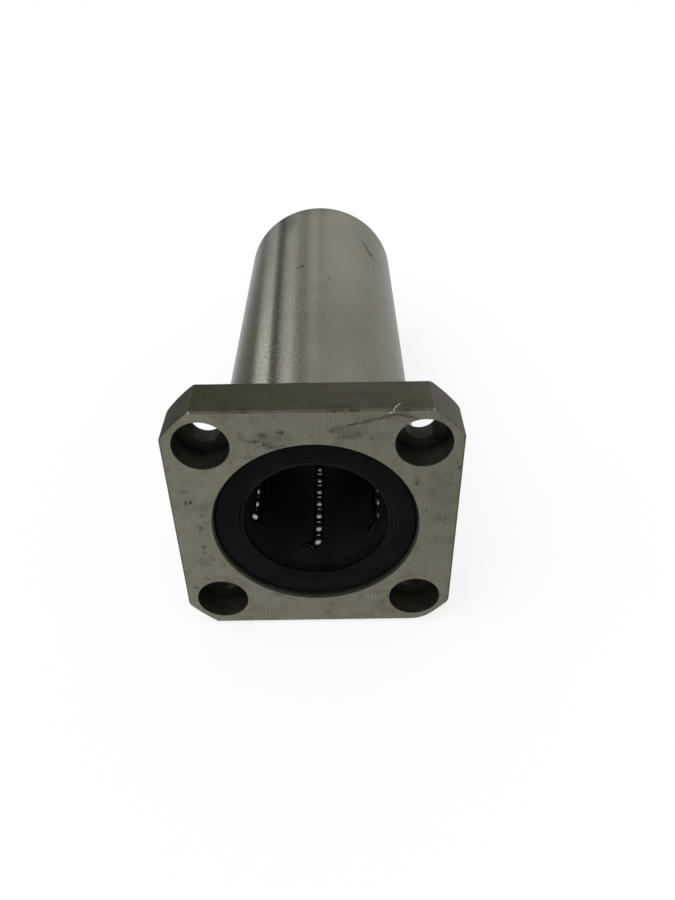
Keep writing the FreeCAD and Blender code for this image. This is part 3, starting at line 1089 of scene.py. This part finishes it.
    def build(self) -> bpy.types.Object:
        """Make the sleeve's mesh.

        Returns:
            The sleeve as one closed piece.
        """
        maker = MeshMaker()
        plain = self.flange_outline(0.0)
        broken = self.flange_outline(self.flange_edge)
        flange = [
            maker.ring(broken, self.front),
            maker.ring(plain, self.front + self.flange_edge),
            maker.ring(plain, -self.flange_edge),
            maker.ring(broken, 0.0),
        ]
        maker.wall(flange, SleeveFace.SIDE)
        root = self.radius - self.undercut_depth
        profile = (
            (root, 0.0),
            (root, self.undercut_width),
            (self.radius, self.undercut_width + self.undercut_depth),
            (self.radius, self.rear - self.rear_edge),
            (self.radius - self.rear_edge, self.rear),
        )
        tube = maker.turned(profile, self.round_steps, SleeveFace.TUBE)
        holes = [self.bolt_hole(maker, centre) for centre in self.bolt_places()]
        front_mouth, front_land = self.end_rings(maker, self.front, 1, "front_seal", "front_retaining_ring")
        rear_mouth, rear_land = self.end_rings(maker, self.rear, -1, "rear_seal", "rear_retaining_ring")
        maker.band(front_land, rear_land, SleeveFace.BORE)
        maker.cap([flange[0], front_mouth, *(front for front, _ in holes)], SleeveFace.FACE)
        maker.cap([flange[-1], tube[0], *(rear for _, rear in holes)], SleeveFace.BACK)
        maker.cap([tube[-1], rear_mouth], SleeveFace.BACK)
        self.sort_flange_faces(maker)
        return maker.piece("ground_sleeve", [finish.material() for finish in SLEEVE_FINISHES])

    def sort_flange_faces(self, maker: MeshMaker) -> None:
        """Tell the flange's broken edges and turned corners from its straight sides, for their own finishes.

        Args:
            maker: The sleeve's mesh.
        """
        maker.mesh.normal_update()
        for face in maker.mesh.faces:
            if face.material_index != SleeveFace.SIDE:
                continue
            if abs(face.normal.y) > self.slanted:
                face.material_index = SleeveFace.EDGE
            elif max(abs(face.normal.x), abs(face.normal.z)) < 1 - self.straight:
                face.material_index = SleeveFace.CORNER

    def dress(self) -> None:
        """Build the sleeve and put it in place of its node."""
        declare(self.build(), self.node)


@dataclass
class EndSeal:
    """A flat rubber end seal with one wiping lip, as a turned section with softened corners."""

    node: str
    inward: int
    edge: float = 0.35
    lip_depth: float = 0.7
    lip_land: float = 0.8
    lip_face: float = 0.5
    lip_bevel: float = 0.5
    back_bevel: float = 1.5
    corner: float = 0.14
    corner_share: float = 0.4
    corner_steps: int = 3
    round_steps: int = 160
    lip_corner: int = 4

    def section(self) -> list[Point]:
        """Work out the seal's section.

        Returns:
            Its corners, as pairs of depth and radius.
        """
        low, high = node_box(self.node)
        outer = high.x
        depth = high.y - low.y
        lip = mount_size("shaft_bore", "r_mm")
        crease = lip + self.lip_face
        return [
            (0.0, outer - self.edge),
            (self.edge, outer),
            (depth, outer),
            (depth, lip + self.back_bevel),
            (self.lip_depth + self.lip_land, lip),
            (self.lip_depth, lip),
            (self.lip_depth, crease),
            (0.0, crease + self.lip_bevel),
        ]

    def softened(self, section: list[Point]) -> list[Point]:
        """Round each corner of a closed section.

        Args:
            section: The corners.

        Returns:
            The rounded section's points.
        """
        points: list[Point] = []
        count = len(section)
        for number, corner in enumerate(section):
            here = Vector(corner)
            ends = []
            for other in (section[number - 1], section[(number + 1) % count]):
                way = Vector(other) - here
                ends.append(here + way.normalized() * min(self.corner, way.length * self.corner_share))
            for step in range(self.corner_steps + 1):
                share = step / self.corner_steps
                first = ends[0].lerp(here, share)
                second = here.lerp(ends[1], share)
                points.append(tuple(first.lerp(second, share)))
        return points

    def dress(self) -> None:
        """Build the seal and put it in place of its node."""
        low, high = node_box(self.node)
        face = low.y if self.inward > 0 else high.y
        maker = MeshMaker()
        rings = [
            maker.ring(circle(radius, self.round_steps), face + self.inward * depth)
            for depth, radius in self.softened(self.section())
        ]
        lip_start = self.lip_corner * (self.corner_steps + 1)
        for number, (first, second) in enumerate(zip(rings, rings[1:] + rings[:1])):
            on_lip = lip_start <= number < len(rings) - 1
            maker.band(first, second, int(on_lip))
        finishes = [shared_material(finish) for finish in (SEAL_RUBBER, LIP_RUBBER)]
        declare(maker.piece(f"rubber_{self.node}", finishes), self.node)


class Cage(Enum):
    """The two ball cages of the long type."""

    FRONT = "front"
    REAR = "rear"


class Segment(Enum):
    """The four stretches of a ball circuit and how many balls each holds."""

    LOAD = ("load_balls", 9)
    REAR_TURN = ("rear_turn_balls", 2)
    RETURN = ("return_balls", 9)
    FRONT_TURN = ("front_turn_balls", 2)


@dataclass
class BallCircuits:
    """The steel balls of one cage, six circuits of four stretches, each stretch a straight line of balls."""

    cage: Cage
    circuits: int = 6
    sphere_levels: int = 2

    def tree(self) -> bpy.types.NodeTree:
        """Build the node tree that sets a ball at each step of a straight line.

        Returns:
            The tree, shared by both cages.
        """
        name = "ball_line"
        if name in bpy.data.node_groups:
            return bpy.data.node_groups[name]
        inputs = {
            "Start": "Vector",
            "Step": "Vector",
            "Count": "Int",
            "Ball Radius": "Float",
            "Finish": "Material",
        }
        nodes = new_group(name, "GeometryNodeTree", inputs, {"Geometry": "Geometry"})
        given = nodes.add("NodeGroupInput").outputs
        line = nodes.add(
            "GeometryNodeMeshLine",
            {"Count": given["Count"], "Start Location": given["Start"], "Offset": given["Step"]},
            mode="OFFSET",
        )
        ball = nodes.add(
            "GeometryNodeMeshIcoSphere",
            {"Radius": given["Ball Radius"], "Subdivisions": self.sphere_levels},
        )
        smooth = nodes.add("GeometryNodeSetShadeSmooth", {"Geometry": ball.outputs["Mesh"]})
        balls = nodes.add(
            "GeometryNodeInstanceOnPoints",
            {"Points": line.outputs["Mesh"], "Instance": smooth.outputs["Geometry"]},
        )
        real = nodes.add("GeometryNodeRealizeInstances", {"Geometry": balls.outputs["Instances"]})
        finished = nodes.add(
            "GeometryNodeSetMaterial",
            {"Geometry": real.outputs["Geometry"], "Material": given["Finish"]},
        )
        nodes.add("NodeGroupOutput", {0: finished.outputs["Geometry"]})
        return nodes.tree

    def line(self, segment: Segment, circuit: int) -> dict[str, Any]:
        """Work out a stretch's line of balls from the box of the same stretch in the first circuit.

        Args:
            segment: The stretch.
            circuit: Number of the circuit, from 1.

        Returns:
            The tree's inputs by name, in metres.
        """
        stem, count = segment.value
        low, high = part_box(f"{self.cage.value}_{stem}_1")
        radius = (high.z - low.z) / 2
        inset = Vector((radius, radius, radius))
        turn = Matrix.Rotation(2 * math.pi * (circuit - 1) / self.circuits, 3, "Y")
        start = low + inset
        step = (high - inset - start) / (count - 1)
        return {"Start": turn @ start, "Step": turn @ step, "Count": count, "Ball Radius": radius}

    def row(self, name: str, inputs: dict[str, Any]) -> bpy.types.Object:
        """Run the tree with its inputs and keep the result as a plain mesh.

        Args:
            name: Name of the piece.
            inputs: The tree's inputs by name.

        Returns:
            The piece.
        """
        piece = add_object(name, bpy.data.meshes.new(f"{name}_seed"))
        modifier = piece.modifiers.new("ball_line", "NODES")
        modifier.node_group = self.tree()
        for socket in modifier.node_group.interface.items_tree:
            if socket.in_out == "INPUT":
                modifier[socket.identifier] = inputs[socket.name]
        graph = bpy.context.evaluated_depsgraph_get()
        mesh = bpy.data.meshes.new_from_object(piece.evaluated_get(graph), depsgraph=graph)
        piece.modifiers.remove(modifier)
        mesh.name = name
        piece.data = mesh
        return piece

    def dress(self) -> None:
        """Build every stretch of balls and put it in place of its node."""
        finish = shared_material(BALL_STEEL)
        for circuit in range(1, self.circuits + 1):
            for segment in Segment:
                node = f"{self.cage.value}_{segment.value[0]}_{circuit}"
                piece = self.row(f"steel_{node}", {**self.line(segment, circuit), "Finish": finish})
                declare(piece, node, node)


@dataclass
class KeptNodes:
    """The CAD nodes whose shape stays as it is, with the finish that each gets."""

    slot: str
    finish: Finish
    nodes: tuple[str, ...]

    def dress(self) -> None:
        """Give each node's material slots its finish."""
        material = self.finish.material()
        for name in self.nodes:
            node = frame["nodes"][name]
            for slot in node.material_slots:
                slot.material = material
            log.info("%s: kept, dressed in %s", name, material.name)


@dataclass(frozen=True)
class Reflector:
    """A long strip of the room that runs along the part and that its tube mirrors.

    The angle is measured about the bore, from straight up towards the left. The level is how bright the strip
    is where the tube's near end mirrors it, and the far level where its far end does, as shares of white.
    """

    angle: float
    half_width: float
    softness: float
    level: float
    far_level: float


@dataclass
class Studio:
    """The pale floor, the soft light, the strips that the steel reflects, and the camera of the photograph.

    The part rests on the flange's lower rear edge and on the sleeve's rear end, so the floor leans to both.
    The reflector level, tube span and pale end are shares of how far a reflection points along the bore.
    """

    floor_size: float = 6000.0
    floor_colour: Colour = (0.9, 0.9, 0.9)
    floor_glow: float = 0.8
    floor_left: float = 1.30
    floor_right: float = 1.03
    floor_turn: float = 40.0
    floor_foot: float = 1.16
    floor_fall: Point = (-70.0, -10.0)
    room_light: float = 0.62
    sun_way: Triple = (0.45, 0.35, -1.0)
    sun_power: float = 1.8
    sun_angle: float = 60.0
    reflectors: tuple[Reflector, ...] = (
        Reflector(101.0, 8.0, 10.0, 0.50, 0.50),
        Reflector(75.5, 6.0, 11.0, 2.60, 0.80),
        Reflector(59.3, 3.6, 4.2, 0.10, 0.26),
        Reflector(39.0, 3.0, 9.5, 2.10, 0.84),
        Reflector(22.0, 4.5, 9.0, 0.40, 1.05),
        Reflector(4.0, 3.0, 7.0, 1.06, 1.50),
        Reflector(-10.5, 2.0, 6.5, 0.64, 1.08),
        Reflector(-108.0, 15.0, 22.0, 1.00, 1.05),
    )
    reflector_skew: float = 110.0
    reflector_level: float = 0.855
    tube_span: Point = (0.86, 0.935)
    pale_end: Point = (0.884, 0.920)
    pale_gain: Point = (0.98, 1.50)
    strip_tint: Colour = (0.96, 0.985, 1.08)
    strip_span: Point = (0.8, 2.6)
    cloth_start: float = 60.0
    cloth_fade: float = 180.0
    cloth_stop: float = 1500.0
    cloth_lift: float = 1.0
    cloth_dark: float = 0.34
    cloth_pale: float = 0.70
    camera_place: Triple = (5.0, -125.6, 108.1)
    camera_pitch: float = 37.33
    camera_yaw: float = -0.133
    camera_roll: float = -0.939
    camera_lens: float = 30.65
    camera_near: float = 5.0

    def sheet(
        self, name: str, material: bpy.types.Material, across: Point, along: Point, lift: float = 0.0,
    ) -> bpy.types.Object:
        """Lay a flat sheet on the floor's plane, under the flange's rear edge and the sleeve's rear end.

        Args:
            name: Name of the sheet.
            material: Its material.
            across: Where it starts and stops across the bore.
            along: Where it starts and stops along the floor, from the flange.
            lift: How far it lies above the floor.

        Returns:
            The sheet.
        """
        sleeve = FlangedSleeve()
        front = Vector((0.0, -sleeve.flange_edge, -sleeve.half))
        rear = Vector((0.0, sleeve.rear - sleeve.rear_edge, -sleeve.radius))
        way = (rear - front).normalized()
        side = Vector((1.0, 0.0, 0.0))
        origin = front + side.cross(way) * lift
        corners = [
            origin + side * across[first] + way * along[second]
            for first, second in ((0, 0), (1, 0), (1, 1), (0, 1))
        ]
        data = bpy.data.meshes.new(name)
        data.from_pydata([corner * MM for corner in corners], [], [(0, 1, 2, 3)])
        data.materials.append(material)
        sheet = add_object(name, data)
        return sheet

    def floor(self) -> None:
        """Lay the floor: white with the part's soft shadow, and mirrored brighter on the lamp's side."""
        material, nodes = new_material("pale_floor")
        path = nodes.add("ShaderNodeLightPath").outputs
        shown = nodes.math("MAXIMUM", path["Is Camera Ray"], path["Is Glossy Ray"])
        shown = nodes.math("MAXIMUM", shown, path["Is Transmission Ray"])
        axes = nodes.axes(nodes.place())
        level = nodes.spread(
            axes["X"], -self.floor_turn, self.floor_turn, self.floor_left, self.floor_right, smooth=True,
        )
        foot = nodes.spread(axes["Y"], *self.floor_fall, 1.0, self.floor_foot, smooth=True)
        level = nodes.spread(path["Is Glossy Ray"], 0.0, 1.0, 1.0, nodes.math("MULTIPLY", level, foot))
        pale = nodes.add("ShaderNodeBsdfDiffuse", {"Color": (*self.floor_colour, 1.0)})
        glow = nodes.add("ShaderNodeEmission", {"Strength": level})
        share = nodes.math("MULTIPLY", shown, self.floor_glow)
        nodes.surface(nodes.add("ShaderNodeMixShader", {0: share, 1: pale.outputs[0], 2: glow.outputs[0]}))
        reach = self.floor_size / 2
        self.sheet("floor", material, (-reach, reach), (-reach, reach))

    def cloth(self) -> None:
        """Lay a dark cloth on the floor to the left, which only the steel shows."""
        material, nodes = new_material("dark_cloth")
        left = nodes.axes(nodes.place())["X"]
        level = nodes.spread(left, -self.cloth_fade, -self.cloth_start, self.cloth_dark, self.cloth_pale)
        nodes.surface(nodes.add("ShaderNodeEmission", {"Strength": level}))
        across = (-self.cloth_stop, -self.cloth_start)
        along = (self.cloth_start, self.floor_size / 2)
        cloth = self.sheet("dark_cloth", material, across, along, self.cloth_lift)
        for ray in ("camera", "diffuse", "transmission", "volume_scatter", "shadow"):
            setattr(cloth, f"visible_{ray}", False)

    def reflected(self, nodes: Nodes) -> Socket:
        """Give the room's level in reflections: plain white with the reflectors laid over it.

        Args:
            nodes: The world's nodes.

        Returns:
            The level.
        """
        axes = nodes.axes(nodes.add("ShaderNodeTexCoord").outputs["Generated"])
        left = nodes.math("MULTIPLY", axes["X"], -1.0)
        angle = nodes.math("DEGREES", nodes.math("ARCTAN2", left, axes["Z"]))
        lead = nodes.math("SUBTRACT", axes["Y"], self.reflector_level)
        angle = nodes.math("MULTIPLY_ADD", lead, -self.reflector_skew, angle)
        total: Any = nodes.spread(axes["Y"], *self.pale_end, *self.pale_gain, smooth=True)
        for strip in self.reflectors:
            aside = nodes.math("ABSOLUTE", nodes.math("SUBTRACT", angle, strip.angle))
            edge = strip.half_width + strip.softness
            share = nodes.spread(aside, strip.half_width, edge, 1.0, 0.0, smooth=True)
            level = nodes.spread(axes["Y"], *self.tube_span, strip.level, strip.far_level)
            total = nodes.math("MULTIPLY_ADD", share, nodes.math("SUBTRACT", level, total), total)
        return total

    def room(self) -> None:
        """Light the room evenly, with a white background, and with cooler light from its brightest strips."""
        world = bpy.data.worlds.new("soft_room")
        world.use_nodes = True
        world.cycles.sampling_method = "NONE"
        nodes = Nodes(world.node_tree)
        path = nodes.add("ShaderNodeLightPath").outputs
        shown = nodes.math("MAXIMUM", path["Is Camera Ray"], path["Is Transmission Ray"])
        plain = nodes.spread(shown, 0.0, 1.0, self.room_light, 1.0)
        gain = nodes.math("SUBTRACT", self.reflected(nodes), plain)
        strength = nodes.math("MULTIPLY_ADD", path["Is Glossy Ray"], gain, plain)
        cool = nodes.spread(strength, *self.strip_span, 0.0, 1.0)
        cool = nodes.math("MULTIPLY", path["Is Glossy Ray"], cool)
        colour = nodes.mix(cool, WHITE, self.strip_tint)
        light = nodes.add("ShaderNodeBackground", {"Color": colour, "Strength": strength})
        nodes.add("ShaderNodeOutputWorld", {"Surface": light.outputs[0]})
        bpy.context.scene.world = world

    def sun(self) -> None:
        """Hang a wide soft lamp, far away, above the part and to its left."""
        data = bpy.data.lights.new("soft_lamp", "SUN")
        data.energy = self.sun_power
        data.angle = math.radians(self.sun_angle)
        lamp = add_object("soft_lamp", data)
        lamp.rotation_euler = Vector(self.sun_way).to_track_quat("-Z", "Y").to_euler()
        lamp.visible_camera = False
        lamp.visible_glossy = False

    def camera(self) -> None:
        """Set the camera where the photograph was taken from."""
        data = bpy.data.cameras.new("photo_camera")
        data.lens = self.camera_lens
        data.clip_start = self.camera_near * MM
        camera = add_object("photo_camera", data)
        yaw = Matrix.Rotation(math.radians(-self.camera_yaw), 4, "Z")
        pitch = Matrix.Rotation(math.pi / 2 - math.radians(self.camera_pitch), 4, "X")
        roll = Matrix.Rotation(math.radians(self.camera_roll), 4, "Z")
        camera.matrix_world = Matrix.Translation(Vector(self.camera_place) * MM) @ yaw @ pitch @ roll
        bpy.context.scene.camera = camera

    def set_up(self) -> None:
        """Build the whole studio."""
        bpy.context.scene.view_settings.view_transform = "Standard"
        self.floor()
        self.cloth()
        self.room()
        self.sun()
        self.camera()
        log.info("studio: floor, reflections, room, lamp and camera")


def main() -> None:
    """Build and dress every sub-assembly, then the studio."""
    logging.basicConfig(level=logging.INFO, format="%(message)s")
    FlangedSleeve().dress()
    EndSeal("front_seal", 1).dress()
    EndSeal("rear_seal", -1).dress()
    KeptNodes("ring_steel", RING_STEEL, ("front_retaining_ring", "rear_retaining_ring")).dress()
    KeptNodes("cage_resin", CAGE_RESIN, ("front_ball_cage", "rear_ball_cage")).dress()
    for cage in Cage:
        BallCircuits(cage).dress()
    Studio().set_up()


if __name__ == "__main__":
    main()
